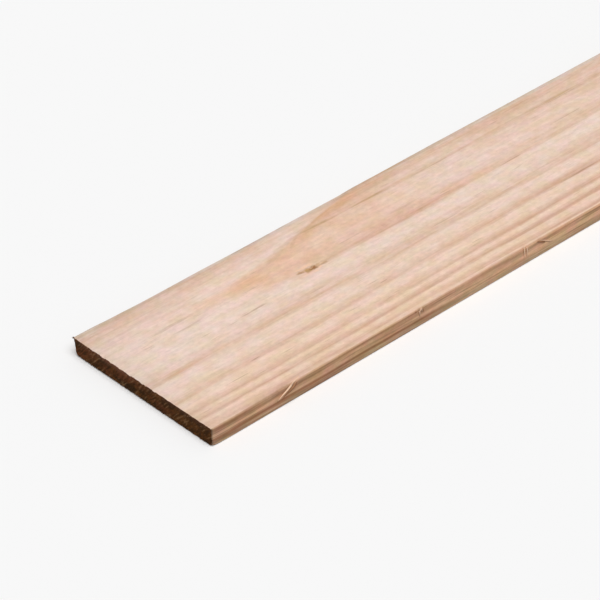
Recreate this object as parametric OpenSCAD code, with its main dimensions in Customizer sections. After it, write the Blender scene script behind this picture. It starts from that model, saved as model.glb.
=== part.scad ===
// Dressed softwood board: one sawn length, planed on its four long faces,
// its long arrises eased, its ends sawn square, with a resin pocket open in its top face.

/* [Board] */
// Length from sawn end to sawn end
board_length = 1219; // [600:1:2440]
// Width across the planed faces
board_width = 184; // [140:1:286]
// Thickness through the planed faces
board_thickness = 19; // [15:0.5:38]
// Radius of the easing along the four long arrises
arris_radius = 1.5; // [0.5:0.1:6]

/* [Resin pocket] */
// Length from tip to tip
pocket_length = 34; // [10:1:80]
// Width at the middle
pocket_width = 4.8; // [2:0.1:8]
// Depth at the middle
pocket_depth = 1.4; // [0.5:0.1:3]
// Distance of the middle from the left end
pocket_from_end = 221; // [60:1:500]
// Distance of the middle from the back edge
pocket_from_edge = 70; // [20:1:120]
// Turn from the grain, so that its right tip lies nearer the front
pocket_turn = 5; // [-15:0.5:15]

/* [Hidden] */

// Angle and length of the facets that show round shapes
$fa = 1;
$fs = 0.4;

wood_colour = "#E6CDBA";

// The flats between the eased arrises
face_width = board_width - 2 * arris_radius;
edge_height = board_thickness - 2 * arris_radius;

// The pocket is cut by a spindle that lies nearly along the grain.
// An arc through the pocket's two tips and its deepest point shapes the spindle's side,
// and an arc through its two lips and its deepest point gives the spindle's girth.
spindle_arc_radius = (pow(pocket_length / 2, 2) + pow(pocket_depth, 2)) / (2 * pocket_depth);
spindle_radius = (pow(pocket_width / 2, 2) + pow(pocket_depth, 2)) / (2 * pocket_depth);
spindle_rise = spindle_radius - pocket_depth;

// Section across the grain, with its lower face on the X axis
module board_section() {
    translate([-face_width / 2, 0])
        square([face_width, board_thickness]);
    translate([-board_width / 2, arris_radius])
        square([board_width, edge_height]);
    for (side = [-1, 1], level = [0, 1])
        translate([side * face_width / 2, arris_radius + level * edge_height])
            circle(arris_radius);
}

// Spindle along Z: an arc turned about its own chord
module spindle() {
    rotate_extrude()
        intersection() {
            translate([spindle_radius - spindle_arc_radius, 0])
                circle(spindle_arc_radius);
            translate([0, -spindle_arc_radius])
                square([2 * spindle_radius, 2 * spindle_arc_radius]);
        }
}

module plank() {
    color(wood_colour)
        difference() {
            rotate([90, 0, 90])
                linear_extrude(board_length, center = true)
                    board_section();
            translate([
                pocket_from_end - board_length / 2,
                board_width / 2 - pocket_from_edge,
                board_thickness + spindle_rise
            ])
                rotate([0, 90, -pocket_turn])
                    spindle();
        }
}

plank();
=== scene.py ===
import math

import bpy
import numpy as np
from mathutils import Matrix, Vector


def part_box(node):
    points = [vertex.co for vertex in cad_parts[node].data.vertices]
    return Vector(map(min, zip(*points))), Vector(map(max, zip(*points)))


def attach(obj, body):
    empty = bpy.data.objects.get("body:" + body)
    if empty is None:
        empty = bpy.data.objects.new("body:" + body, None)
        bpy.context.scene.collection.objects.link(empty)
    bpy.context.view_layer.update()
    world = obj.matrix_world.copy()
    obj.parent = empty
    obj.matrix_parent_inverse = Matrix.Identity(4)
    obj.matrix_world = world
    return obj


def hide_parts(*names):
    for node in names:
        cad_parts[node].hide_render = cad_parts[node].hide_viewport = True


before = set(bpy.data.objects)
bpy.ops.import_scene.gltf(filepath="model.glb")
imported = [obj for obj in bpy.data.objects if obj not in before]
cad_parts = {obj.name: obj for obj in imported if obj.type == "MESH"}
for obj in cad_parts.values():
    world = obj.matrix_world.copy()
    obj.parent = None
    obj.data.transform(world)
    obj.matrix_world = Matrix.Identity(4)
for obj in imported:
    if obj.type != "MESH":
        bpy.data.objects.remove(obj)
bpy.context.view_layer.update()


# The board
# One length of fast-grown pine, flat-sawn from beside the heart of the log and left bare.
# The planer dressed its four long faces and eased its arrises, and a saw cut its ends square.

MM = 0.001
board_low, board_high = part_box("plank")
board_length, board_width, board_thickness = (board_high - board_low) / MM
arris_radius = 1.5

# A resin pocket opens in the top face: a lens nearly along the grain, deepest at its middle.
pocket_length = 34.0
pocket_width = 4.8
pocket_depth = 1.4
pocket_from_end = 221.0
pocket_from_back = 70.0
pocket_turn = math.radians(5.0)

# Where the front arris is torn: from, deepest place, to (all along the board), and depth.
tears = [
    (8.0, 84.0, 94.0, 1.25),
    (240.0, 246.0, 252.0, 0.4),
    (376.0, 380.0, 384.0, 0.3),
    (394.0, 399.0, 407.0, 0.5),
]

# Chips broken out of the left end's upper rim: distance from the back edge, half width, depth, run.
chips = [
    (17.0, 2.4, 0.6, 1.8),
    (26.0, 2.4, 1.0, 2.4),
    (40.0, 3.2, 2.3, 4.0),
    (51.0, 2.2, 0.7, 2.0),
    (63.0, 2.6, 1.1, 2.8),
    (76.0, 3.2, 1.4, 2.4),
    (93.0, 2.4, 0.9, 2.4),
    (109.0, 2.4, 0.6, 1.6),
]

# The left end's back corner is worn away below.
corner_wear = 2.2
corner_reach = 9.0
corner_run = 6.0


def wander(places, pitch, seed):
    """A smooth random line from -1 to 1, with a new height about every pitch."""
    heights = np.random.default_rng(seed).uniform(-1.0, 1.0, int(np.max(places) / pitch) + 4)
    spots = np.clip(places / pitch, 0.0, None)
    start = spots.astype(int)
    blend = spots - start
    blend = blend * blend * (3.0 - 2.0 * blend)
    return heights[start] * (1.0 - blend) + heights[start + 1] * blend


def wander_over(first, second, pitches, seed):
    """A smooth random sheet from -1 to 1, with its own pitch along each of two directions."""
    rows = int(np.max(first) / pitches[0]) + 4
    columns = int(np.max(second) / pitches[1]) + 4
    heights = np.random.default_rng(seed).uniform(-1.0, 1.0, (rows, columns))
    row = np.clip(first / pitches[0], 0.0, None)
    column = np.clip(second / pitches[1], 0.0, None)
    i = row.astype(int)
    j = column.astype(int)
    a = row - i
    b = column - j
    a = a * a * (3.0 - 2.0 * a)
    b = b * b * (3.0 - 2.0 * b)
    near = heights[i, j] * (1.0 - b) + heights[i, j + 1] * b
    far = heights[i + 1, j] * (1.0 - b) + heights[i + 1, j + 1] * b
    return near * (1.0 - a) + far * a


def bell(places, middle, half_width):
    """1 at the middle, falling smoothly away on both sides of it."""
    return np.exp(-((places - middle) / half_width) ** 2)


def rise(places, start, stop):
    """0 at the start and 1 at the stop, with an even slope between them and level beyond."""
    return np.clip((places - start) / (stop - start), 0.0, 1.0)


# Growth rings. Each ring's outer face meets the top at a distance from the back edge, and leans
# towards the front as it goes down. The inner rings bend back over the heart into a pointed arch.
ring_places = [27.0, 74.5, 108.6, 136.0, 155.7, 168.0, 179.9, 186.2, 196.0]
ring_leans = [1.6, 1.3, 1.0, 0.72, 0.6, 0.54, 0.45, 0.35, 0.5]
ring_drifts = [0.0, 0.0, 3.5, -5.0, -5.0, -1.0, 2.2, 0.0, 0.0]
drift_run = 600.0
bulging_ring = 2

# Each ring's late wood: its width, how gradually it ends, how dark it gets, and its end line.
late_widths = [36.0, 22.0, 20.0, 12.5, 9.5, 7.5, 7.0, 4.4, 7.5]
late_ends = [2.5, 7.0, 8.0, 5.0, 4.5, 4.0, 2.6, 2.0, 3.5]
late_tones = [0.55, 0.82, 0.64, 0.62, 0.66, 1.0, 0.7, 1.0, 1.0]
line_tones = [0.9, 0.15, 0.1, 0.1, 0.1, 0.15, 0.1, 0.1, 0.1]
arch_tips = {0: (240.0, 22.5), 1: (137.0, 44.0)}
arch_run = 40.0
arch_round = 6.0
arch_slopes = {0: 0.225, 1: 0.215}
arch_open_slopes = (0.15, 0.12)


def soft_max(a, b, round_over):
    """The larger of the two, rounded over where they cross."""
    near = np.clip(round_over - np.abs(a - b), 0.0, None) / round_over
    return np.maximum(a, b) + near * near * round_over / 4.0


def arch_limbs(ring, along):
    """Where the two limbs of an arched ring meet the top, as distances from the back edge."""
    tip_along, tip_back = arch_tips[ring]
    past = along - tip_along
    spread = ring_places[ring] - tip_back
    bend = spread * (1.0 - np.exp(-np.clip(past, 0.0, None) / arch_run))
    front_limb = tip_back + np.where(past > 0.0, bend, arch_open_slopes[0] * past)
    back_limb = tip_back - np.where(past > 0.0, arch_slopes[ring], arch_open_slopes[1]) * past
    return front_limb, back_limb


def ring_face(ring, along, back, depth, calm):
    """How far a point lies outside a ring's outer face, across the board, in millimetres."""
    sway = 1.1 * wander(along, 140.0, 20) + 0.8 * wander(along, 90.0, 30 + ring)
    sway *= 1.0 - calm
    lean = ring_leans[ring] * depth
    if ring in arch_tips:
        front_limb, back_limb = arch_limbs(ring, along)
        return soft_max(back - front_limb - lean - sway, back_limb - lean - back, arch_round)
    drift = ring_drifts[ring] * (rise(along, 0.0, drift_run) - 0.5)
    if ring == bulging_ring:
        drift += 4.0 * bell(along, 270.0, 45.0)
    return back - ring_places[ring] - lean - sway - drift


def stations(end, coarse, fine_places):
    """Places from 0 to end, close together inside each (start, stop, step) of fine_places."""
    places = [0.0]
    while places[-1] < end - coarse / 2:
        here = places[-1]
        step = min([coarse] + [fine for start, stop, fine in fine_places if start <= here < stop])
        ahead = [start for start, stop, fine in fine_places if here + step / 4 < start < here + step]
        places.append(min(ahead + [here + step]))
    places[-1] = end
    return np.array(places)


# Lattice of the board's surface: along the grain, from front to back, and from bottom to top.
# The eased arrises are shared by the wide faces and the edges, half of each round to either.
end_zone = 8.0
end_step = 1.2
pocket_margin = 4.0
pocket_half = pocket_length / 2 + pocket_margin
pocket_step = 1.5
ragged_run = 36.0
before_tear = 2.0
after_tear = 3.0
tear_step = 1.1
plain_step = 9.0
fine_along = [
    (max(start - before_tear, deepest - ragged_run), stop + after_tear, tear_step)
    for start, deepest, stop, tear_depth in tears
]
fine_along += [(pocket_from_end - pocket_half, pocket_from_end + pocket_half, pocket_step)]
fine_along += [(0.0, end_zone, end_step), (board_length - end_zone, board_length, end_step)]
along_places = stations(board_length, plain_step, fine_along)

arris_rows = 5
turn = np.radians(np.linspace(45.0, 90.0, arris_rows))
arc_in = arris_radius * (1.0 - np.cos(turn))
arc_down = arris_radius * (1.0 - np.sin(turn))
face_width = board_width - 2 * arris_radius
edge_height = board_thickness - 2 * arris_radius
pocket_from_front = board_width - arris_radius - pocket_from_back
pocket_reach = 4.2
chips_from_front = [board_width - arris_radius - chip[0] for chip in chips]
chip_margin = 4.0
torn_width = 5.0
torn_row, pocket_row, chip_row, plain_row = 0.8, 0.6, 1.4, 2.6
fine_across = [
    (0.0, torn_width, torn_row),
    (pocket_from_front - pocket_reach, pocket_from_front + pocket_reach, pocket_row),
    (min(chips_from_front) - chip_margin, max(chips_from_front) + chip_margin, chip_row),
]
face_places = arris_radius + stations(face_width, plain_row, fine_across)
edge_rows = 18
edge_places = arris_radius + np.linspace(0.0, edge_height, edge_rows)


def eased(places, size):
    """The places between two arrises with the rounds added, and how far the rounds fall away."""
    across = np.concatenate([arc_in[:-1], places, size - arc_in[-2::-1]])
    fall = np.concatenate([arc_down[:-1], np.zeros(len(places)), arc_down[-2::-1]])
    return across, fall


row_across, row_fall = eased(face_places, board_width)
column_up, column_fall = eased(edge_places, board_thickness)
last = (len(along_places) - 1, len(row_across) - 1, len(column_up) - 1)

shell = np.ones((last[0] + 1, last[1] + 1, last[2] + 1), bool)
shell[1:-1, 1:-1, 1:-1] = False
number = np.full(shell.shape, -1)
number[shell] = np.arange(shell.sum())
i, j, k = np.nonzero(shell)
along = along_places[i]
across = np.where(j == last[1], board_width - column_fall[k], row_across[j])
across = np.where(j == 0, column_fall[k], across)
up = np.where(k == last[2], board_thickness - row_fall[j], column_up[k])
up = np.where(k == 0, row_fall[j], up)

# On the top the lattice slides so that its lines run with the pocket, a little across the grain.
slide_run = 12.0
slide_width = 16.0
pocket_near = rise(np.abs(along - pocket_from_end), pocket_half + slide_run, pocket_half)
slide_off = np.abs(board_width - across - pocket_from_back)
pocket_near *= rise(slide_off, pocket_margin + slide_width, pocket_margin)
across -= np.where(k == last[2], math.tan(pocket_turn) * (along - pocket_from_end) * pocket_near, 0.0)
back = board_width - across
depth = board_thickness - up

# Which way the section faces at each point, and how nearly it faces along an arris.
out_across = (across - np.clip(across, arris_radius, board_width - arris_radius)) / arris_radius
out_up = (up - np.clip(up, arris_radius, board_thickness - arris_radius)) / arris_radius
on_arris = 2.0 * np.abs(out_across * out_up)
on_top = (k == last[2])
on_front = (across < board_width / 2)
from_end = np.minimum(along, board_length - along)

# Planed faces have slow waves. The arrises are worn unevenly, and the lower front one is crisp.
wave_height = 0.07
wave_pitches = (210.0, 46.0)
crisp_wear = -0.3
fall = wave_height * (1.0 + wander_over(along, back, wave_pitches, 3))
LOWER_BACK, UPPER_BACK, LOWER_FRONT, UPPER_FRONT = range(4)
side = 2 * on_front + (up > board_thickness / 2)
for corner in (LOWER_BACK, UPPER_BACK, LOWER_FRONT, UPPER_FRONT):
    worn = 0.14 + 0.12 * wander(along, 55.0, 60 + corner) + 0.08 * wander(along, 9.0, 64 + corner)
    worn = crisp_wear if corner == LOWER_FRONT else np.clip(worn, 0.0, None)
    fall += np.where(side == corner, worn * on_arris, 0.0)

# The upper back arris swells at the left end, and farther along a splinter of it is gone.
swollen = np.interp(along, [0.0, 20.0, 40.0, 60.0], [0.9, 0.9, 0.35, 0.0])
fall -= np.where(side == UPPER_BACK, swollen * on_arris, 0.0)
split_places = [55.0, 72.0, 90.0, 140.0, 190.0, 250.0, 322.0, 336.0]
split_legs = np.interp(along, split_places, [0.88, 1.65, 1.8, 1.65, 2.2, 1.95, 2.2, 0.88])
split_in = np.where(side == UPPER_BACK, np.clip(split_legs - back - depth, 0.0, None) / 2, 0.0)

# At both ends the lower corners are knocked round, and the lower rim is worn, most at the back.
knock_centre = 4.2
knock_radius = 3.4
knock_run = 4.0
rim_run = 1.5
rim_height = 0.8
from_edge = np.minimum(across, back)
low_corner = np.hypot(np.clip(knock_centre - up, 0.0, None), np.clip(knock_centre - from_edge, 0.0, None))
knocked = np.exp(-from_end / knock_run) * np.clip(low_corner - knock_radius, 0.0, None)
low_rim = np.interp(back, [12.0, 30.0, 80.0, 110.0], [2.4, 1.6, 1.5, 0.7])
low_rim *= np.exp(-from_end / rim_run - up / rim_height)

# The pocket is the underside of a spindle whose arcs pass through its tips, lips and floor.
pocket_arc = ((pocket_length / 2) ** 2 + pocket_depth ** 2) / (2 * pocket_depth)
pocket_girth = ((pocket_width / 2) ** 2 + pocket_depth ** 2) / (2 * pocket_depth)
pocket_ahead = along - pocket_from_end
pocket_aside = back - pocket_from_back
pocket_run = np.abs(pocket_ahead * math.cos(pocket_turn) + pocket_aside * math.sin(pocket_turn))
pocket_off = np.abs(pocket_aside * math.cos(pocket_turn) - pocket_ahead * math.sin(pocket_turn))
spindle_run = np.clip(pocket_run, 0.0, pocket_length)
spindle = np.sqrt(pocket_arc ** 2 - spindle_run ** 2) - pocket_arc + pocket_girth
spindle_floor = np.sqrt(np.clip(spindle ** 2 - pocket_off ** 2, 0.0, None)) - pocket_girth + pocket_depth
inside_pocket = on_top & (spindle > pocket_off)
fall += np.where(inside_pocket, np.clip(spindle_floor, 0.0, None), 0.0)

# Torn fibre along the front top arris: each tear deepens along the grain and stops short.
ragged_pitch = 2.6
tear_width = 2.4
tear_height = 4.2
near_arris = bell(across, 0.0, tear_width) * bell(depth, 0.0, tear_height)
torn_in = np.zeros(len(along))
for start, deepest, stop, tear_depth in tears:
    reach = rise(along, start, deepest) ** 2 * rise(along, stop, deepest)
    ragged = 0.85 + 0.3 * wander(along, ragged_pitch, int(deepest))
    torn_in += tear_depth * reach * ragged * near_arris

# Sawn ends: slanting saw marks, torn pits and a ragged rim, all cut back from the square end.
mark_pitch = 3.4
mark_slant = 0.6
mark_depth = 0.12
pit_depth = 0.2
rim_depth = 0.18
marks = np.sin(2.0 * np.pi * (across + mark_slant * up) / mark_pitch + 1.5 * wander(across, 17.0, 5))
pits = wander_over(across, up, (2.6, 1.7), 8)
end_cut = mark_depth * (1.0 + marks) + pit_depth * (1.0 + pits)
on_rim = (j == 0) | (j == last[1]) | (k == 0) | (k == last[2])
end_cut += np.where(on_rim, rim_depth * (1.0 + wander_over(across, up, (3.1, 3.3), 9)), 0.0)
end_cut = np.where(i == 0, end_cut, np.where(i == last[0], -end_cut, 0.0))
chip_cut = np.zeros(len(along))
for chip_back, half_width, chip_depth, chip_run in chips:
    chip_reach = np.clip(1.0 - np.abs(back - chip_back) / half_width, 0.0, None)
    chip_cut += np.where(on_top, chip_depth * chip_reach * rise(along, chip_run, 0.0), 0.0)
corner_in = corner_wear * depth / board_thickness * np.exp(-along / corner_run)
corner_in *= rise(back, corner_reach, 0.0)

# Knocks and tears cut slantwise into an arris, by this share to either side of it.
slant_share = 0.7
inwards = np.where(on_front, 1.0, -1.0)
cut_across = across - out_across * fall + slant_share * (inwards * knocked + torn_in) - corner_in - split_in
cut_up = up - out_up * fall - chip_cut + low_rim + slant_share * (knocked - torn_in) - split_in
points = np.stack([along + end_cut, cut_across, np.maximum(cut_up, 0.0)], axis=1)

quads = []
quad_corners = []
quad_materials = []


def add_side(grid, first, second, corner, extent, flip, material):
    """Quads over a grid of point numbers, laid in its own strip of the bake map."""
    first = corner[0] + extent[0] * (first - first[0]) / (first[-1] - first[0])
    second = corner[1] + extent[1] * (second - second[0]) / (second[-1] - second[0])
    spread = np.stack(np.meshgrid(first, second, indexing="ij"), axis=2)
    steps = [(0, 0), (1, 0), (1, 1), (0, 1)]
    if flip:
        steps = steps[::-1]
    rows, columns = grid.shape[0] - 1, grid.shape[1] - 1
    quads.append(np.stack([grid[a:a + rows, b:b + columns] for a, b in steps], axis=2).reshape(-1, 4))
    laid = np.stack([spread[a:a + rows, b:b + columns] for a, b in steps], axis=2)
    quad_corners.append(laid.reshape(-1, 2))
    quad_materials.append(np.full(rows * columns, material))


# Strips of the bake map, from bottom to top with gaps between: both ends, back, front, underside, top.
girth_row = np.concatenate([[0.0], np.cumsum(np.hypot(np.diff(row_across), np.diff(row_fall)))])
girth_column = np.concatenate([[0.0], np.cumsum(np.hypot(np.diff(column_up), np.diff(column_fall)))])
PLANED, SAWN = 0, 1
map_gap = 0.01
map_left = map_gap / 2
edge_high, under_high, top_high = 0.1, 0.23, 0.42
ends_level = map_gap / 2
back_level = ends_level + edge_high + map_gap
front_level = back_level + edge_high + map_gap
under_level = front_level + edge_high + map_gap
top_level = under_level + under_high + map_gap
long_wide = 1.0 - map_gap
end_wide = long_wide / 2 - map_gap
right_end_left = map_left + end_wide + 2 * map_gap
planed_sides = [
    (number[:, :, last[2]], girth_row, top_level, top_high, False),
    (number[:, :, 0], girth_row, under_level, under_high, True),
    (number[:, 0, :], girth_column, front_level, edge_high, False),
    (number[:, last[1], :], girth_column, back_level, edge_high, True),
]
for grid, girth, level, high, flip in planed_sides:
    add_side(grid, along_places, girth, (map_left, level), (long_wide, high), flip, PLANED)
sawn_ends = [(number[0, :, :], map_left, True), (number[last[0], :, :], right_end_left, False)]
for grid, end_left, flip in sawn_ends:
    add_side(grid, girth_row, girth_column, (end_left, ends_level), (end_wide, edge_high), flip, SAWN)

board_mesh = bpy.data.meshes.new("pine_board")
board_mesh.from_pydata(points * MM + np.array(board_low), [], np.concatenate(quads).tolist())
board_mesh.polygons.foreach_set("material_index", np.concatenate(quad_materials))
bake_map = board_mesh.uv_layers.new(name="OFBake")
bake_map.uv.foreach_set("vector", np.concatenate(quad_corners).astype(np.float32).ravel())
board_mesh.shade_smooth()
sharp_turn = math.radians(50.0)
board_mesh.set_sharp_from_angle(angle=sharp_turn)


def add_value(mesh, name, values):
    """A number, or three, on each point of a mesh for its material to read."""
    kind, field = ("FLOAT", "value") if values.ndim == 1 else ("FLOAT_VECTOR", "vector")
    made = mesh.attributes.new(name, kind, "POINT")
    made.data.foreach_set(field, np.asarray(values, np.float32).ravel())


# Three rings to an attribute. Resin has coloured the wood inside the arch, round the pocket.
calm = 0.75 * np.abs(out_across)
outside_rings = [ring_face(ring, along, back, depth, calm) for ring in range(len(ring_places))]
outside_rings = np.stack(outside_rings, axis=1)
ring_names = ["rings_inner", "rings_middle", "rings_outer"]
for group_number, name in enumerate(ring_names):
    add_value(board_mesh, name, outside_rings[:, 3 * group_number:3 * group_number + 3])
amber_along = 205.0
amber_back = 45.0
amber_run = np.where(along < amber_along, 180.0, 140.0)
amber_reach = np.where(back < amber_back, np.interp(along, [180.0, 230.0], [20.0, 40.0]), 40.0)
amber = bell(along, amber_along, amber_run) * bell(back, amber_back, amber_reach)
amber *= np.maximum(rise(along, 40.0, 130.0), 0.3)
thinner = np.interp(along, [180.0, 240.0, 270.0, 310.0], [0.0, 0.32, 0.32, 0.0])
amber *= 1.0 - thinner * rise(back, 32.0, 44.0)
amber *= np.interp(along, [290.0, 340.0, 380.0, 420.0], [1.0, 1.4, 1.0, 0.3])
amber_edge = np.interp(along, [150.0, 240.0], [26.0, 12.0])
amber_inside = np.interp(along, [120.0, 180.0], [0.85, 0.65])
amber *= np.clip(amber_inside - outside_rings[:, 1] / amber_edge, 0.0, 1.0)
inner_limb = bell(back, arch_limbs(0, along)[1], 4.5) * rise(along, 244.0, 258.0)
front_limb_amber = np.interp(along, [340.0, 380.0, 440.0, 500.0], [0.0, 0.5, 0.5, 0.2])
front_limb_amber *= bell(back, 69.5, 5.5)
far_amber = 0.17 * rise(along, 440.0, 490.0) * rise(back, 75.0, 60.0)
seeped = 0.85 * bell(along, 214.0, 15.0) * bell(back, 73.5, 4.2)
amber = np.maximum(np.maximum(amber, seeped), np.maximum(front_limb_amber, far_amber))
add_value(board_mesh, "amber", amber)
# The arch's back limb bounds that colour sharply, and it is strongest just inside.
limb_bends = [150.0, 200.0, 232.0, 248.0, 262.0, 283.0, 342.0]
limb_back = np.interp(along, limb_bends, [36.5, 32.0, 26.5, 21.0, 18.5, 12.5, 1.5])
add_value(board_mesh, "inside_limb", back - limb_back)
limb_places = [222.0, 242.0, 275.0, 295.0, 330.0, 400.0]
add_value(board_mesh, "limb", np.interp(along, limb_places, [0.0, 0.6, 0.75, 1.0, 0.9, 0.0]))
lined = np.interp(along, [270.0, 300.0, 380.0, 420.0], [1.0, 1.35, 1.35, 0.8])
add_value(board_mesh, "lined", lined * (1.0 - 0.85 * inner_limb))
front_edge = np.clip(np.abs(out_across), 0.0, 1.0) ** 1.5
back_edge = rise(np.abs(out_across), 0.7, 1.0)
add_value(board_mesh, "edge", np.where(on_front, front_edge, back_edge))
add_value(board_mesh, "torn", np.clip(torn_in / 0.9, 0.0, 0.65))
add_value(board_mesh, "arris", np.where(side == UPPER_FRONT, 0.7 * on_arris, 0.0))
blush = bell(along, 335.0, 75.0) * bell(outside_rings[:, 1], -5.0, 7.0)
add_value(board_mesh, "blush", np.where(on_top, blush, 0.0))

# How strong the late wood is: faint round the tip of the arch, and strongest at the front.
tip_fade = np.maximum(rise(along, 150.0, 310.0), 0.15)
in_arch = rise(outside_rings[:, 1], 10.0, 2.0)
far_fade = rise(along, 360.0, 420.0)
far_fade *= np.interp(back, [22.0, 26.0, 40.0, 60.0, 80.0, 90.0], [0.45, 0.0, 0.0, 0.35, 0.35, 0.0])
front_places = [60.0, 150.0, 290.0, 350.0, 440.0, 500.0]
front_run = np.interp(along, front_places, [-0.15, 0.0, 0.1, 0.35, 0.45, 0.65])
front_run *= rise(back, 120.0, 128.0)
middle_places = [60.0, 130.0, 200.0, 270.0, 340.0, 420.0, 500.0]
middle_run = np.interp(along, middle_places, [0.25, 0.25, -0.04, 0.0, -0.08, 0.15, 0.2])
middle_back = np.interp(along, [110.0, 200.0], [96.5, 101.0])
middle_run *= bell(back, middle_back, 9.0)
strength = (1.0 - in_arch * (1.0 - tip_fade)) * (1.0 + front_run + middle_run - far_fade)
add_value(board_mesh, "strength", strength)

# Rings that cross the edges: depth, half width, and darkness at the near and at the far part.
# Between two of them lies a paler band.
edge_rings = [
    (3.2, 3.2, 0.3, 0.18),
    (9.2, 1.8, -0.14, -0.2),
    (12.6, 1.6, 0.64, 0.1),
    (15.6, 2.0, 0.33, 0.42),
]
far_part = rise(along, 210.0, 330.0)
edge_depth = depth + 0.35 * wander(along, 60.0, 41) + 0.25 * wander(along, 17.0, 42)
edge_late = np.interp(along, [2.0, 30.0, 60.0], [0.32, 0.54, 0.44]) - 0.216 * far_part
for ring_depth, half_width, near_tone, far_tone in edge_rings:
    tone = near_tone + (far_tone - near_tone) * far_part
    edge_late += tone * bell(edge_depth, ring_depth, half_width)
add_value(board_mesh, "edge_late", edge_late)

# Pale dust lies low on the edges, and the top is greyed along its back arris.
dust_depth = 15.8
dust_reach = 2.0
haze_back = 3.0
haze_reach = 2.4
add_value(board_mesh, "dusty", bell(depth, dust_depth, dust_reach) * (np.abs(out_across) > 0.6))
hazed = bell(back, haze_back, haze_reach)
add_value(board_mesh, "hazed", np.where(up > board_thickness / 2, hazed, 0.0))

# Painted shade along the lower arrises, where the board meets the floor; grime along the back arris; and
# the ends' dark where it creeps onto the edges.
lower_shade = 0.75 * np.exp(-up / 1.1) * (np.abs(out_across) > 0.3)
creeping = 0.9 * np.exp(-(from_end / 1.5) ** 4) * (np.abs(out_across) > 0.3)
back_grime = 0.22 * on_arris * ~on_front
add_value(board_mesh, "grime_and_shade", np.maximum(np.maximum(lower_shade, back_grime), creeping))

# Late wood of rings that only graze the top; at the back it is faintest where the arch is near.
graze_places = [0.0, 80.0, 120.0, 150.0, 210.0, 270.0, 320.0, 370.0, 410.0, 450.0, 500.0]
graze_tones = [1.25, 1.25, 0.8, 0.58, 0.58, 0.35, 0.95, 0.95, 1.3, 1.3, 1.8]
graze = np.interp(along, graze_places, graze_tones) * np.exp(-(back / 23.0) ** 1.5)
graze = np.minimum(graze, np.interp(along, [150.0, 300.0], [0.85, 1.6]))
graze *= 1.0 - 0.6 * rise(along, 440.0, 500.0) * rise(back, 9.0, 5.0)
front_graze = np.interp(along, [10.0, 30.0, 110.0, 260.0, 300.0], [0.4, 0.8, 0.8, 0.12, 0.0])
graze = np.maximum(graze, front_graze * rise(back, 174.6, 176.8))
add_value(board_mesh, "graze", graze)

# Resin lies in the pocket in lumps, with ragged rims: brown tails, an olive part and a dark clot.
# Its lips are painted pale, as highlights on the pocket's rim.
rim_rags = 0.28 * wander_over(along, back, (2.6, 1.5), 31)


def lump(middle_along, middle_back, half_length, half_width):
    """1 inside an oval on the top that lies with the pocket, falling to 0 outside it."""
    ahead = along - middle_along
    aside = back - middle_back - math.tan(pocket_turn) * ahead
    inside = 1.2 + rim_rags - np.hypot(ahead / half_length, aside / half_width)
    return np.where(on_top, np.clip(inside / 0.5, 0.0, 1.0), 0.0)


tails = np.maximum(lump(209.0, 68.6, 5.5, 1.5), 0.7 * lump(235.0, 72.0, 4.5, 1.8))
olive = np.maximum(lump(217.3, 70.9, 4.6, 3.7), 0.6 * lump(229.0, 69.8, 2.6, 1.6))
clot = lump(223.4, 70.4, 4.0, 3.2)
lip_highlights = np.maximum(0.7 * lump(216.5, 64.8, 10.0, 1.6), lump(228.2, 73.6, 2.4, 1.3))
lip_highlights = np.maximum(lip_highlights, 0.8 * lump(221.5, 77.0, 2.0, 1.1))
add_value(board_mesh, "resin", np.maximum(np.maximum(tails, olive), clot))
add_value(board_mesh, "pocket_tones", np.stack([clot, tails * (1.0 - olive), lip_highlights], axis=1))

# The ends are rubbed paler near the top, and the faces are soiled near the ends and the back edge.
rubbed = bell(depth, 0.0, 4.0) * (0.62 * bell(back, 58.0, 28.0) + 0.22)
add_value(board_mesh, "rubbed", rubbed)
back_soil = np.interp(along, [90.0, 170.0], [0.6, 0.15]) * bell(back, 0.0, 15.0)
add_value(board_mesh, "soil", np.maximum(np.exp(-from_end / 22.0), back_soil))


def add_node(tree, kind, inputs, **settings):
    """A node with its settings, and with its inputs linked or set."""
    node = tree.nodes.new(kind)
    for name, value in settings.items():
        setattr(node, name, value)
    for name, value in inputs.items():
        if isinstance(value, bpy.types.NodeSocket):
            tree.links.new(value, node.inputs[name])
        else:
            node.inputs[name].default_value = value
    return node


def math_of(tree, operation, first, second=0.0):
    """What a math node makes of two values."""
    return add_node(tree, "ShaderNodeMath", {0: first, 1: second}, operation=operation).outputs[0]


def ramp_of(tree, value, low, high, to_low=0.0, to_high=1.0, ease="SMOOTHSTEP"):
    """A value taken from one range to another, and held at its ends."""
    inputs = {"Value": value, "From Min": low, "From Max": high, "To Min": to_low, "To Max": to_high}
    return add_node(tree, "ShaderNodeMapRange", inputs, interpolation_type=ease).outputs[0]


def mixed(tree, share, first, second, blend="MIX"):
    """Two colours mixed by a share."""
    inputs = {0: share, 6: first, 7: second}
    node = add_node(tree, "ShaderNodeMix", inputs, data_type="RGBA", blend_type=blend)
    return node.outputs[2]


def dimmed(tree, colour, light):
    """A colour multiplied by a grey."""
    grey = add_node(tree, "ShaderNodeCombineColor", {0: light, 1: light, 2: light}).outputs[0]
    return mixed(tree, 1.0, colour, grey, "MULTIPLY")


def place_of(tree):
    """The point being shaded, in metres on the board."""
    return add_node(tree, "ShaderNodeTexCoord", {}).outputs["Object"]


def noise_of(tree, stretch, detail, rough=0.5):
    """Noise over the board, with this many features to the metre along each axis."""
    inputs = {0: place_of(tree), 1: stretch}
    stretched = add_node(tree, "ShaderNodeVectorMath", inputs, operation="MULTIPLY").outputs[0]
    inputs = {"Vector": stretched, "Scale": 1.0, "Detail": detail, "Roughness": rough}
    return add_node(tree, "ShaderNodeTexNoise", inputs).outputs["Fac"]


def value_of(tree, name):
    """The number that the mesh holds on its points under a name."""
    return add_node(tree, "ShaderNodeAttribute", {}, attribute_name=name).outputs["Fac"]


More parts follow.
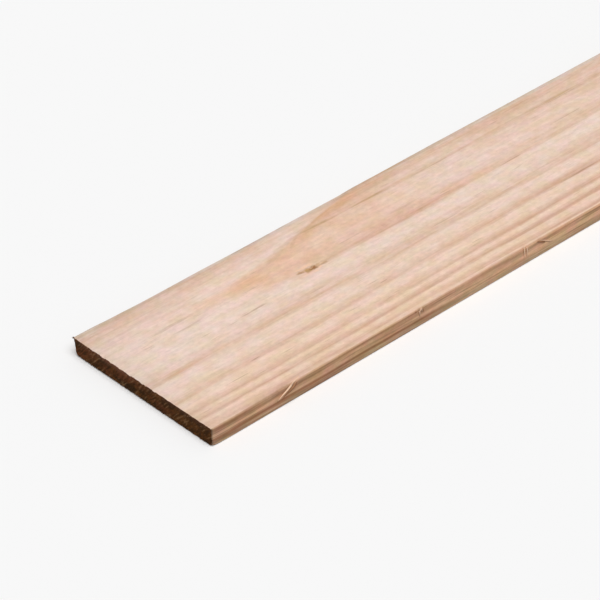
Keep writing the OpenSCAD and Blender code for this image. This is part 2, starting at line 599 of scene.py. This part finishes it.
def trio_of(tree, name):
    """The three numbers that the mesh holds on its points under a name."""
    held = add_node(tree, "ShaderNodeAttribute", {}, attribute_name=name).outputs["Vector"]
    return add_node(tree, "ShaderNodeSeparateXYZ", {0: held}).outputs


def new_group(name, inputs, outputs):
    """A shader node group with named float sockets, and its two end nodes."""
    group = bpy.data.node_groups.new(name, "ShaderNodeTree")
    for socket, value in inputs.items():
        made = group.interface.new_socket(socket, in_out="INPUT", socket_type="NodeSocketFloat")
        made.default_value = value
    for socket in outputs:
        group.interface.new_socket(socket, in_out="OUTPUT", socket_type="NodeSocketFloat")
    return group, group.nodes.new("NodeGroupInput"), group.nodes.new("NodeGroupOutput")


def new_material(name):
    """A material with only its Principled BSDF and output, and that shader."""
    material = bpy.data.materials.new(name)
    material.use_nodes = True
    return material, material.node_tree, material.node_tree.nodes["Principled BSDF"]


# Long fibre: fine streaks, short dark flecks and slow changes of tone along the grain.
fibre_outputs = ["Streaks", "Fleck", "Rose", "Straw", "Fuzz"]
fibre_group, fibre_in, fibre_out = new_group("long_fibre", {"Flecks": 0.5}, fibre_outputs)
hair = math_of(fibre_group, "MULTIPLY", noise_of(fibre_group, (26.0, 1100.0, 1100.0), 3.0), 0.45)
strand = math_of(fibre_group, "MULTIPLY", noise_of(fibre_group, (14.0, 260.0, 260.0), 3.0), 0.55)
fibre_group.links.new(math_of(fibre_group, "ADD", hair, strand), fibre_out.inputs["Streaks"])
canal = ramp_of(fibre_group, noise_of(fibre_group, (34.0, 520.0, 520.0), 1.5), 0.66, 0.8)
fleck = math_of(fibre_group, "MULTIPLY", canal, fibre_in.outputs["Flecks"])
fibre_group.links.new(fleck, fibre_out.inputs["Fleck"])
rose = ramp_of(fibre_group, noise_of(fibre_group, (70.0, 95.0, 95.0), 2.0), 0.3, 0.7)
straw = ramp_of(fibre_group, noise_of(fibre_group, (55.0, 80.0, 120.0), 2.0), 0.3, 0.7)
fuzz = noise_of(fibre_group, (190.0, 290.0, 290.0), 2.0, 0.6)
fibre_group.links.new(rose, fibre_out.inputs["Rose"])
fibre_group.links.new(straw, fibre_out.inputs["Straw"])
fibre_group.links.new(fuzz, fibre_out.inputs["Fuzz"])

# Growth rings: late wood darkens outwards to each ring's face and ends there.
ring_inputs = {"Waver": 1.0, "Feather": 1.0}
ring_group, ring_in, ring_out = new_group("growth_rings", ring_inputs, ["Late Wood", "Ring Face"])
waver = math_of(ring_group, "SUBTRACT", noise_of(ring_group, (8.0, 40.0, 40.0), 3.0), 0.5)
feather = math_of(ring_group, "SUBTRACT", noise_of(ring_group, (28.0, 420.0, 420.0), 3.0), 0.5)
waver = math_of(ring_group, "MULTIPLY", waver, ring_in.outputs["Waver"])
feather = math_of(ring_group, "MULTIPLY", feather, ring_in.outputs["Feather"])
shift = math_of(ring_group, "ADD", waver, feather)
outside = []
for name in ring_names:
    outside += [math_of(ring_group, "ADD", distance, shift) for distance in trio_of(ring_group, name)]
late = 0.0
line = 0.0
beyond = 1.0
for ring, distance in enumerate(outside):
    soft = late_ends[ring]
    within = ramp_of(ring_group, distance, 0.6 * soft, -0.4 * soft)
    within = math_of(ring_group, "MULTIPLY", within, beyond)
    beyond = ramp_of(ring_group, distance, -0.4 * soft, 0.6 * soft)
    tone = late_tones[ring]
    growing = ramp_of(ring_group, distance, -late_widths[ring], -1.0, 0.0, tone, ease="LINEAR")
    late = math_of(ring_group, "MAXIMUM", late, math_of(ring_group, "MULTIPLY", growing, within))
    starting = ramp_of(ring_group, distance, -3.6, -1.0, 0.0, line_tones[ring])
    stopping = ramp_of(ring_group, distance, 1.6, -0.6)
    line = math_of(ring_group, "MAXIMUM", line, math_of(ring_group, "MULTIPLY", starting, stopping))
ring_group.links.new(late, ring_out.inputs["Late Wood"])
ring_group.links.new(line, ring_out.inputs["Ring Face"])

# Resin streaks on the top: from, to, how far from the back edge at either, width and strength.
streaks = [
    (126.0, 162.0, 81.4, 81.4, 2.6, 0.52), (62.0, 112.0, 59.0, 59.0, 3.4, 0.28),
    (40.0, 104.0, 47.5, 47.5, 4.6, 0.25), (40.0, 150.0, 55.0, 53.0, 16.0, 0.05),
    (87.0, 101.0, 136.0, 136.0, 1.8, 0.55), (478.0, 536.0, 133.6, 133.6, 2.4, 0.56),
    (246.0, 259.0, 131.0, 131.0, 1.6, 0.45), (556.0, 628.0, 28.4, 28.4, 1.4, 0.45),
    (400.0, 448.0, 27.0, 27.0, 1.3, 0.35), (452.0, 500.0, 73.5, 73.5, 1.6, 0.4),
    (340.0, 384.0, 101.0, 101.0, 1.8, 0.35), (540.0, 600.0, 57.0, 57.0, 1.5, 0.35),
    (700.0, 748.0, 92.0, 92.0, 1.6, 0.4), (110.0, 206.0, 71.0, 71.0, 15.0, 0.07),
    (846.0, 872.0, 121.0, 121.0, 1.6, 0.45), (960.0, 1030.0, 74.0, 74.0, 1.6, 0.4),
    (1105.0, 1135.0, 44.0, 44.0, 1.5, 0.4), (226.0, 249.0, 35.0, 20.8, 4.6, 0.2),
    (241.0, 282.0, 21.6, 23.0, 2.8, 0.12), (320.0, 370.0, 57.2, 58.6, 4.0, 0.24),
    (302.0, 322.0, 66.0, 68.5, 5.0, 0.1), (184.0, 228.0, 40.0, 30.5, 6.5, 0.2),
]
streak_group, streak_in, streak_out = new_group("resin_streaks", {"Strength": 1.0}, ["Streak"])
ragged = math_of(streak_group, "SUBTRACT", noise_of(streak_group, (60.0, 700.0, 700.0), 2.0), 0.5)
ragged = math_of(streak_group, "MULTIPLY", ragged, 1.6)
streak = 0.0
for start, stop, start_back, stop_back, width, strength in streaks:
    first = board_low + Vector((start, board_width - start_back, board_thickness)) * MM
    second = board_low + Vector((stop, board_width - stop_back, board_thickness)) * MM
    run = second - first
    inputs = {
        "Vector": place_of(streak_group),
        "Location": (first + second) / 2,
        "Rotation": (0.0, 0.0, math.atan2(run.y, run.x)),
        "Scale": (run.length / 2, width * MM / 2, MM),
    }
    moved = add_node(streak_group, "ShaderNodeMapping", inputs, vector_type="TEXTURE").outputs[0]
    outwards = add_node(streak_group, "ShaderNodeVectorMath", {0: moved}, operation="LENGTH")
    outwards = math_of(streak_group, "ADD", outwards.outputs["Value"], ragged)
    near = ramp_of(streak_group, outwards, 1.0, 0.4, 0.0, strength)
    streak = math_of(streak_group, "MAXIMUM", streak, near)
streak = math_of(streak_group, "MULTIPLY", streak, streak_in.outputs["Strength"])
streak_group.links.new(streak, streak_out.inputs["Streak"])

# Planed softwood: pale early wood, tan late wood, warmer towards the front and on the edges.
PALE = (0.815, 0.63, 0.53, 1.0)
WARM = (0.82, 0.593, 0.447, 1.0)
AMBER = (0.775, 0.5, 0.345, 1.0)
LIMB_ORANGE = (1.0, 0.99, 0.9, 1.0)
TAN = (0.64, 0.401, 0.268, 1.0)
FRONT_TAN = (0.64, 0.401, 0.295, 1.0)
RING_LINE = (0.53, 0.345, 0.21, 1.0)
EDGE_PALE = (0.97, 0.6, 0.375, 1.0)
EDGE_TAN = (0.42, 0.2, 0.1, 1.0)
EDGE_LINE = (0.27, 0.13, 0.07, 1.0)
EDGE_ROSE = (1.02, 0.978, 0.99, 1.0)
EDGE_LEAF = (0.98, 1.02, 0.97, 1.0)
DUST = (0.96, 1.11, 1.19, 1.0)
HAZE = (0.87, 0.99, 1.06, 1.0)
BLUSH = (1.0, 0.945, 0.96, 1.0)
ARRIS_TAN = (0.52, 0.315, 0.195, 1.0)
TORN_BROWN = (0.42, 0.245, 0.155, 1.0)
# Dark brown for grime, and for painted shade along the lower arrises.
GRIME_AND_SHADE = (0.13, 0.085, 0.055, 1.0)
FLECK = (0.36, 0.22, 0.135, 1.0)
RESIN = (0.475, 0.29, 0.13, 1.0)
RESIN_DARK = (0.325, 0.158, 0.066, 1.0)
RESIN_TAIL = (0.46, 0.275, 0.165, 1.0)
# A painted highlight on the pocket's lips.
LIP_HIGHLIGHT = (0.92, 0.59, 0.4, 1.0)
ROSE = (1.016, 0.974, 0.988, 1.0)
LEAF = (0.985, 1.022, 0.988, 1.0)
STRAW = (1.0, 0.997, 0.935, 1.0)
LILAC = (1.0, 1.003, 1.065, 1.0)
SOILED = (0.9, 0.92, 0.95, 1.0)

planed, tree, bsdf = new_material("planed_softwood")
rings = add_node(tree, "ShaderNodeGroup", {}, node_tree=ring_group)
rings.inputs["Feather"].default_value = 2.4
fibre = add_node(tree, "ShaderNodeGroup", {}, node_tree=fibre_group)
fibre.inputs["Flecks"].default_value = 0.4
resin_streaks = add_node(tree, "ShaderNodeGroup", {}, node_tree=streak_group)
edge = value_of(tree, "edge")
tree.links.new(ramp_of(tree, edge, 0.0, 1.0, 4.0, 1.2), rings.inputs["Waver"])
split = add_node(tree, "ShaderNodeSeparateXYZ", {0: place_of(tree)})
warm_start = 10.0 * MM
front = ramp_of(tree, split.outputs["Y"], warm_start, board_low.y)
fading = ramp_of(tree, noise_of(tree, (9.0, 28.0, 28.0), 2.0), 0.3, 0.7, 0.75, 1.2)
broken = ramp_of(tree, noise_of(tree, (13.0, 340.0, 340.0), 2.0), 0.3, 0.7, 0.65, 1.3)
strength = math_of(tree, "MULTIPLY", value_of(tree, "strength"), broken)
fading = math_of(tree, "MULTIPLY", fading, strength)
late = math_of(tree, "MAXIMUM", rings.outputs["Late Wood"], value_of(tree, "graze"))
late = math_of(tree, "MULTIPLY", late, fading)
line_gaps = ramp_of(tree, noise_of(tree, (22.0, 230.0, 230.0), 2.0), 0.42, 0.6, 0.25, 1.1)
line_gaps = math_of(tree, "MULTIPLY", line_gaps, value_of(tree, "lined"))
line = math_of(tree, "MULTIPLY", fading, line_gaps)
line = math_of(tree, "MULTIPLY", rings.outputs["Ring Face"], line)

limb_sway = math_of(tree, "SUBTRACT", noise_of(tree, (16.0, 110.0, 110.0), 2.0), 0.5)
limb_sway = math_of(tree, "MULTIPLY", limb_sway, 4.0)
inside_limb = math_of(tree, "ADD", value_of(tree, "inside_limb"), limb_sway)
amber = math_of(tree, "MULTIPLY", value_of(tree, "amber"), ramp_of(tree, inside_limb, -2.0, 3.0))
limb = ramp_of(tree, inside_limb, -0.8, 1.8)
limb = math_of(tree, "MULTIPLY", limb, ramp_of(tree, inside_limb, 14.5, 4.5))
limb = math_of(tree, "MULTIPLY", limb, value_of(tree, "limb"))
amber = math_of(tree, "MAXIMUM", amber, math_of(tree, "MULTIPLY", limb, 0.85))
patchy = ramp_of(tree, noise_of(tree, (28.0, 60.0, 60.0), 3.0), 0.3, 0.65, 0.82, 1.14)
amber = math_of(tree, "MULTIPLY", amber, patchy)
face_colour = mixed(tree, amber, mixed(tree, front, PALE, WARM), AMBER)
late_colour = mixed(tree, front, TAN, FRONT_TAN)
face_colour = mixed(tree, line, mixed(tree, late, face_colour, late_colour), RING_LINE)
face_colour = mixed(tree, value_of(tree, "blush"), face_colour, BLUSH, "MULTIPLY")
face_colour = mixed(tree, limb, face_colour, LIMB_ORANGE, "MULTIPLY")
edge_late = math_of(tree, "MULTIPLY", value_of(tree, "edge_late"), broken)
edge_colour = mixed(tree, edge_late, EDGE_PALE, EDGE_TAN)
edge_colour = mixed(tree, value_of(tree, "dusty"), edge_colour, DUST, "MULTIPLY")
edge_lines = ramp_of(tree, noise_of(tree, (14.0, 560.0, 560.0), 2.0), 0.5, 0.68, 0.0, 0.48)
edge_colour = mixed(tree, edge_lines, edge_colour, EDGE_LINE)
edge_tint = mixed(tree, fibre.outputs["Rose"], EDGE_LEAF, EDGE_ROSE)
edge_colour = mixed(tree, 1.0, edge_colour, edge_tint, "MULTIPLY")
colour = mixed(tree, edge, face_colour, edge_colour)
colour = mixed(tree, value_of(tree, "arris"), colour, ARRIS_TAN)
colour = mixed(tree, value_of(tree, "torn"), colour, TORN_BROWN)
colour = mixed(tree, 1.0, colour, mixed(tree, fibre.outputs["Rose"], LEAF, ROSE), "MULTIPLY")
colour = mixed(tree, 1.0, colour, mixed(tree, fibre.outputs["Straw"], LILAC, STRAW), "MULTIPLY")
fuzz = ramp_of(tree, fibre.outputs["Fuzz"], 0.2, 0.8, 0.9, 1.1, ease="LINEAR")
colour = dimmed(tree, colour, fuzz)
straw = ramp_of(tree, fibre.outputs["Straw"], 0.0, 1.0, 1.022, 0.978, ease="LINEAR")
colour = dimmed(tree, colour, straw)
colour = mixed(tree, value_of(tree, "soil"), colour, SOILED, "MULTIPLY")
colour = mixed(tree, value_of(tree, "hazed"), colour, HAZE, "MULTIPLY")
swing = ramp_of(tree, edge, 0.0, 1.0, 0.05, 0.17)
light = ramp_of(tree, fibre.outputs["Streaks"], 0.3, 0.7, -1.0, 1.0)
colour = dimmed(tree, colour, math_of(tree, "ADD", math_of(tree, "MULTIPLY", light, swing), 1.0))
dark_marks = math_of(tree, "MAXIMUM", fibre.outputs["Fleck"], resin_streaks.outputs["Streak"])
colour = mixed(tree, dark_marks, colour, FLECK)
clot, tail, lip_highlight = trio_of(tree, "pocket_tones")
# Painted highlights on the pocket's lips.
colour = mixed(tree, lip_highlight, colour, LIP_HIGHLIGHT)
lumps = noise_of(tree, (260.0, 600.0, 600.0), 2.0)
clot = math_of(tree, "MULTIPLY", clot, ramp_of(tree, lumps, 0.3, 0.55, 0.5, 1.1))
resin = math_of(tree, "MULTIPLY", value_of(tree, "resin"), ramp_of(tree, lumps, 0.3, 0.5, 0.72, 1.0))
resin_colour = mixed(tree, clot, mixed(tree, tail, RESIN, RESIN_TAIL), RESIN_DARK)
colour = mixed(tree, resin, colour, resin_colour)
# Grime, and painted shade along the lower arrises by the floor.
grime_and_shade = math_of(tree, "MULTIPLY", value_of(tree, "grime_and_shade"), broken)
colour = mixed(tree, grime_and_shade, colour, GRIME_AND_SHADE)
tree.links.new(colour, bsdf.inputs["Base Color"])
rough = ramp_of(tree, fibre.outputs["Streaks"], 0.3, 0.7, 0.74, 0.62)
rough = math_of(tree, "SUBTRACT", rough, math_of(tree, "MULTIPLY", resin, 0.3))
tree.links.new(rough, bsdf.inputs["Roughness"])
bsdf.inputs["Specular IOR Level"].default_value = 0.22
raised = math_of(tree, "MULTIPLY", rings.outputs["Late Wood"], 0.4)
height = math_of(tree, "ADD", fibre.outputs["Streaks"], raised)
grain_relief = 0.3 * MM
bump = add_node(tree, "ShaderNodeBump", {"Strength": 0.4, "Distance": grain_relief, "Height": height})
tree.links.new(bump.outputs["Normal"], bsdf.inputs["Normal"])

# Sawn end grain: open pores that have drawn in damp and dirt and gone dark brown, and darker still as
# painted shade, though the key light reaches the ends.
END_BROWN = (0.155, 0.057, 0.014, 1.0)
END_DARK = (0.05, 0.022, 0.007, 1.0)
END_RED = (0.2, 0.062, 0.025, 1.0)
END_PALE = (0.36, 0.2, 0.095, 1.0)
END_RUBBED = (0.3, 0.125, 0.075, 1.0)

sawn, tree, bsdf = new_material("sawn_end_grain")
rings = add_node(tree, "ShaderNodeGroup", {}, node_tree=ring_group)
rings.inputs["Waver"].default_value = 4.0
rings.inputs["Feather"].default_value = 2.4
pores = noise_of(tree, (900.0, 900.0, 900.0), 3.0, 0.7)
blotch = noise_of(tree, (70.0, 60.0, 110.0), 3.0)
stain = noise_of(tree, (20.0, 24.0, 60.0), 2.0)
saw_slant = 0.8
inputs = {"Vector": place_of(tree), "Rotation": (saw_slant, 0.0, 0.0)}
slanted = add_node(tree, "ShaderNodeMapping", inputs).outputs[0]
inputs = {0: slanted, 1: (300.0, 95.0, 520.0)}
slanted = add_node(tree, "ShaderNodeVectorMath", inputs, operation="MULTIPLY").outputs[0]
inputs = {"Vector": slanted, "Scale": 1.0, "Detail": 2.0}
saw_marks = add_node(tree, "ShaderNodeTexNoise", inputs).outputs["Fac"]
colour = mixed(tree, ramp_of(tree, blotch, 0.35, 0.65), END_BROWN, END_DARK)
colour = mixed(tree, ramp_of(tree, stain, 0.48, 0.7, 0.0, 0.8), colour, END_RED)
colour = mixed(tree, math_of(tree, "MULTIPLY", rings.outputs["Late Wood"], 0.3), colour, END_DARK)
colour = mixed(tree, ramp_of(tree, saw_marks, 0.5, 0.36, 0.0, 0.8), colour, END_DARK)
colour = mixed(tree, ramp_of(tree, saw_marks, 0.54, 0.72, 0.0, 0.55), colour, END_PALE)
colour = mixed(tree, ramp_of(tree, pores, 0.6, 0.75, 0.0, 0.5), colour, END_PALE)
colour = mixed(tree, ramp_of(tree, pores, 0.42, 0.3, 0.0, 0.7), colour, END_DARK)
rubbed = math_of(tree, "MULTIPLY", value_of(tree, "rubbed"), ramp_of(tree, blotch, 0.3, 0.6, 0.4, 1.0))
colour = mixed(tree, rubbed, colour, END_RUBBED)
tree.links.new(colour, bsdf.inputs["Base Color"])
tree.links.new(ramp_of(tree, pores, 0.3, 0.7, 0.95, 0.82), bsdf.inputs["Roughness"])
bsdf.inputs["Specular IOR Level"].default_value = 0.06
height = math_of(tree, "ADD", pores, saw_marks)
saw_relief = 0.8 * MM
bump = add_node(tree, "ShaderNodeBump", {"Strength": 0.7, "Distance": saw_relief, "Height": height})
tree.links.new(bump.outputs["Normal"], bsdf.inputs["Normal"])

board_mesh.materials.append(planed)
board_mesh.materials.append(sawn)
board = bpy.data.objects.new("pine_board", board_mesh)
bpy.context.scene.collection.objects.link(board)
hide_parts("plank")
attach(board, "root")


# The torn fibres
# Slivers and hairs of the board's own wood, lifted by the planer along the front arris and by
# the saw at the ends. Each is still rooted in the board and tapers to its free tip.

# Two brown splints among them lie flush on the front edge and paint the shade under lifted slivers.
# Each sliver: root and tip as (along, out from the front edge, up), width, thickness, bow, paleness.
slivers = [
    ((103.5, -3.6, 18.9), (90.6, 0.8, 18.2), 1.8, 0.8, 0.7, 0.88),
    ((95.0, -0.5, 19.0), (74.0, 0.9, 8.6), 1.9, 0.8, 1.1, 0.9),
    # A brown splint flush under the sliver above: painted shade of that lifted sliver, not wood.
    ((98.0, -0.3, 17.6), (79.5, 0.2, 7.4), 3.0, 0.35, 0.3, 0.42),
    ((248.2, -0.5, 18.9), (246.6, 0.6, 15.4), 3.2, 0.4, 0.2, 0.78),
    ((245.2, 0.1, 17.0), (246.4, 0.4, 10.4), 1.9, 0.4, 0.3, 0.82),
    ((248.6, 0.1, 17.2), (249.3, 0.4, 13.6), 1.0, 0.4, 0.2, 0.76),
    ((240.6, -0.1, 18.6), (242.2, 0.2, 16.6), 1.0, 0.35, 0.1, 0.45),
    ((250.2, -0.1, 17.6), (250.6, 0.25, 13.4), 1.0, 0.35, 0.1, 0.45),
    ((378.8, 0.3, 18.8), (379.0, 0.6, 8.4), 1.5, 0.8, 0.3, 1.0),
    ((382.2, 0.3, 18.6), (382.4, 0.6, 7.4), 1.5, 0.8, 0.3, 1.0),
    ((384.4, -3.4, 18.8), (378.0, 0.3, 18.4), 1.8, 0.6, 0.4, 0.86),
    ((417.0, -0.2, 8.6), (397.6, 0.45, 18.3), 1.4, 0.5, 0.4, 0.8),
    # A brown splint flush under the sliver above: painted shade of that lifted sliver, not wood.
    ((407.0, -0.1, 12.3), (395.6, 0.25, 18.0), 1.7, 0.35, 0.15, 0.5),
]

sliver_sides = 6
sliver_steps = 9
sliver_points = []
sliver_faces = []
sliver_tones = []


def add_sliver(root, tip, width, thickness, bow, paleness):
    """A bowed splint with an oval section, thickest near its root and pointed at its tip."""
    first = len(sliver_points)
    root = Vector(root)
    tip = Vector(tip)
    run = (tip - root).normalized()
    out = Vector((0.0, 0.75, 0.65))
    out = (out - run * out.dot(run)).normalized()
    sideways = run.cross(out)
    for step in range(sliver_steps):
        share = step / sliver_steps
        middle = root.lerp(tip, share) + out * bow * math.sin(math.pi * share)
        middle += sideways * 0.12 * width * math.sin(2.0 * math.pi * share)
        taper = min(1.0, 0.5 + 2.2 * share) * (1.0 - share ** 2.6)
        for side_number in range(sliver_sides):
            angle = 2.0 * math.pi * side_number / sliver_sides
            spread = sideways * math.cos(angle) * width / 2 + out * math.sin(angle) * thickness / 2
            sliver_points.append(middle + spread * taper)
    sliver_points.append(tip)
    sliver_tones.extend([paleness] * (len(sliver_points) - first))
    for step in range(sliver_steps - 1):
        for side_number in range(sliver_sides):
            a = first + step * sliver_sides + side_number
            b = first + step * sliver_sides + (side_number + 1) % sliver_sides
            sliver_faces.append((a, a + sliver_sides, b + sliver_sides, b))
    ring_start = first + (sliver_steps - 1) * sliver_sides
    for side_number in range(sliver_sides):
        following = ring_start + (side_number + 1) % sliver_sides
        sliver_faces.append((ring_start + side_number, len(sliver_points) - 1, following))
    sliver_faces.append(tuple(first + side_number for side_number in range(sliver_sides)))


for sliver in slivers:
    add_sliver(*sliver)

# Hairs round the rims of both sawn ends, and a dark tuft at the left end's back corner.
hairs = np.random.default_rng(11)
hairs_per_end = 26
hair_margin = 4.0
hair_rooting = 0.9
hair_levels = [0.5, board_thickness - 0.4]
hair_width, hair_thickness, hair_bow = 0.3, 0.22, 0.1
for end_place, outwards in ((0.0, -1.0), (board_length, 1.0)):
    for hair_number in range(hairs_per_end):
        out = -hairs.uniform(hair_margin, board_width - hair_margin)
        level = hairs.choice(hair_levels)
        root = (end_place - outwards * hair_rooting, out, level)
        reach = outwards * hairs.uniform(0.3, 1.1)
        tip = (end_place + reach, out + hairs.uniform(-1.2, 1.2), level + hairs.uniform(0.0, 0.5))
        add_sliver(root, tip, hair_width, hair_thickness, hair_bow, hairs.uniform(0.0, 0.8))
corner_root = (1.2, -board_width + 1.4, board_thickness - 0.5)
tuft_width, tuft_thickness, tuft_bow = 1.0, 0.7, 0.3
for run, lift, spread_out in ((-1.6, 0.5, 0.6), (-0.4, 0.7, 1.2), (0.6, 0.4, 1.0)):
    tuft_tip = (run, -board_width - spread_out, board_thickness + lift)
    add_sliver(corner_root, tuft_tip, tuft_width, tuft_thickness, tuft_bow, 0.0)

fibre_mesh = bpy.data.meshes.new("torn_fibres")
fibre_points = [board_low + Vector((point.x, -point.y, point.z)) * MM for point in sliver_points]
fibre_mesh.from_pydata(fibre_points, [], sliver_faces)
fibre_mesh.shade_smooth()
add_value(fibre_mesh, "paleness", np.array(sliver_tones))

# Torn fibre: the same wood, from dark with dirt, through brown, to pale where it was just lifted.
# The brown also paints the shade under lifted slivers, in two flush splints.
FRESH = (0.93, 0.64, 0.45, 1.0)
BROWN = (0.45, 0.22, 0.11, 1.0)
SHADED = (0.1, 0.055, 0.035, 1.0)

torn, tree, bsdf = new_material("torn_fibre")
fibre = add_node(tree, "ShaderNodeGroup", {}, node_tree=fibre_group)
fibre.inputs["Flecks"].default_value = 0.2
paleness = value_of(tree, "paleness")
colour = mixed(tree, ramp_of(tree, paleness, 0.0, 0.5), SHADED, BROWN)
colour = mixed(tree, ramp_of(tree, paleness, 0.5, 1.0), colour, FRESH)
colour = dimmed(tree, colour, ramp_of(tree, fibre.outputs["Streaks"], 0.3, 0.7, 0.88, 1.06))
colour = mixed(tree, fibre.outputs["Fleck"], colour, FLECK)
tree.links.new(colour, bsdf.inputs["Base Color"])
tree.links.new(ramp_of(tree, fibre.outputs["Streaks"], 0.3, 0.7, 0.85, 0.7), bsdf.inputs["Roughness"])
bsdf.inputs["Specular IOR Level"].default_value = 0.2
sliver_relief = 0.2 * MM
inputs = {"Strength": 0.4, "Distance": sliver_relief, "Height": fibre.outputs["Streaks"]}
bump = add_node(tree, "ShaderNodeBump", inputs)
tree.links.new(bump.outputs["Normal"], bsdf.inputs["Normal"])

fibre_mesh.materials.append(torn)
torn_fibres = bpy.data.objects.new("torn_fibres", fibre_mesh)
bpy.context.scene.collection.objects.link(torn_fibres)
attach(torn_fibres, "root")


# The studio
# A plain pale floor, a broad soft key light from the front, and a dim even sky.
# The camera looks down on the left end, along the board, as the photograph does.

BACKGROUND_WHITE = (0.938, 0.938, 0.938, 1.0)
FLOOR_BOUNCE = (0.36, 0.36, 0.36, 1.0)
SKY_LIGHT = (0.22, 0.22, 0.22, 1.0)


def seen_directly(tree):
    """1 for rays from the camera, in reflections and through glass, and 0 for light that bounces."""
    path = add_node(tree, "ShaderNodeLightPath", {})
    seen = math_of(tree, "MAXIMUM", path.outputs["Is Camera Ray"], path.outputs["Is Glossy Ray"])
    return math_of(tree, "MAXIMUM", seen, path.outputs["Is Transmission Ray"])


floor_half = 12000.0 * MM
floor_mesh = bpy.data.meshes.new("floor")
floor_corners = [(-floor_half, -floor_half, 0.0), (floor_half, -floor_half, 0.0)]
floor_corners += [(floor_half, floor_half, 0.0), (-floor_half, floor_half, 0.0)]
floor_mesh.from_pydata(floor_corners, [], [(0, 1, 2, 3)])
floor_paint, tree, bsdf = new_material("floor_paint")
floor_colour = mixed(tree, seen_directly(tree), FLOOR_BOUNCE, BACKGROUND_WHITE)
tree.links.new(floor_colour, bsdf.inputs["Base Color"])
bsdf.inputs["Roughness"].default_value = 1.0
bsdf.inputs["Specular IOR Level"].default_value = 0.0
floor_mesh.materials.append(floor_paint)
floor = bpy.data.objects.new("floor", floor_mesh)
bpy.context.scene.collection.objects.link(floor)

world = bpy.data.worlds.new("studio")
world.use_nodes = True
bpy.context.scene.world = world
sky_colour = mixed(world.node_tree, seen_directly(world.node_tree), SKY_LIGHT, BACKGROUND_WHITE)
world.node_tree.links.new(sky_colour, world.node_tree.nodes["Background"].inputs["Color"])

# The key and the sky together light a level face so that its colour renders as it is written.
key_direction = Vector((-0.15, -0.34, 0.93)).normalized()
key = bpy.data.lights.new("key", "SUN")
key.energy = math.pi * (1.0 - SKY_LIGHT[0]) / key_direction.z
key.angle = math.radians(50.0)
key_lamp = bpy.data.objects.new("key", key)
key_lamp.rotation_euler = key_direction.to_track_quat("Z", "Y").to_euler()
bpy.context.scene.collection.objects.link(key_lamp)

# The view was fitted to the board's edges: turned from the board, tipped down and rolled a little.
view_turn = math.radians(41.43)
view_tip = math.radians(35.78)
view_roll = math.radians(-2.08)
focal_pixels = 3038.4
picture_pixels = 600.0
view_offset = Vector((-74.3, -124.9, -2570.6)) * MM

lens = bpy.data.cameras.new("camera")
lens.sensor_width = 36.0
lens.lens = lens.sensor_width * focal_pixels / picture_pixels
lens.clip_end = 100.0
camera = bpy.data.objects.new("camera", lens)
facing = Matrix.Rotation(-view_turn, 3, "Z") @ Matrix.Rotation(math.pi / 2 - view_tip, 3, "X")
facing = facing @ Matrix.Rotation(view_roll, 3, "Z")
camera.matrix_world = Matrix.Translation(board_low - facing @ view_offset) @ facing.to_4x4()
bpy.context.scene.collection.objects.link(camera)
bpy.context.scene.camera = camera
bpy.context.scene.view_settings.view_transform = "Standard"
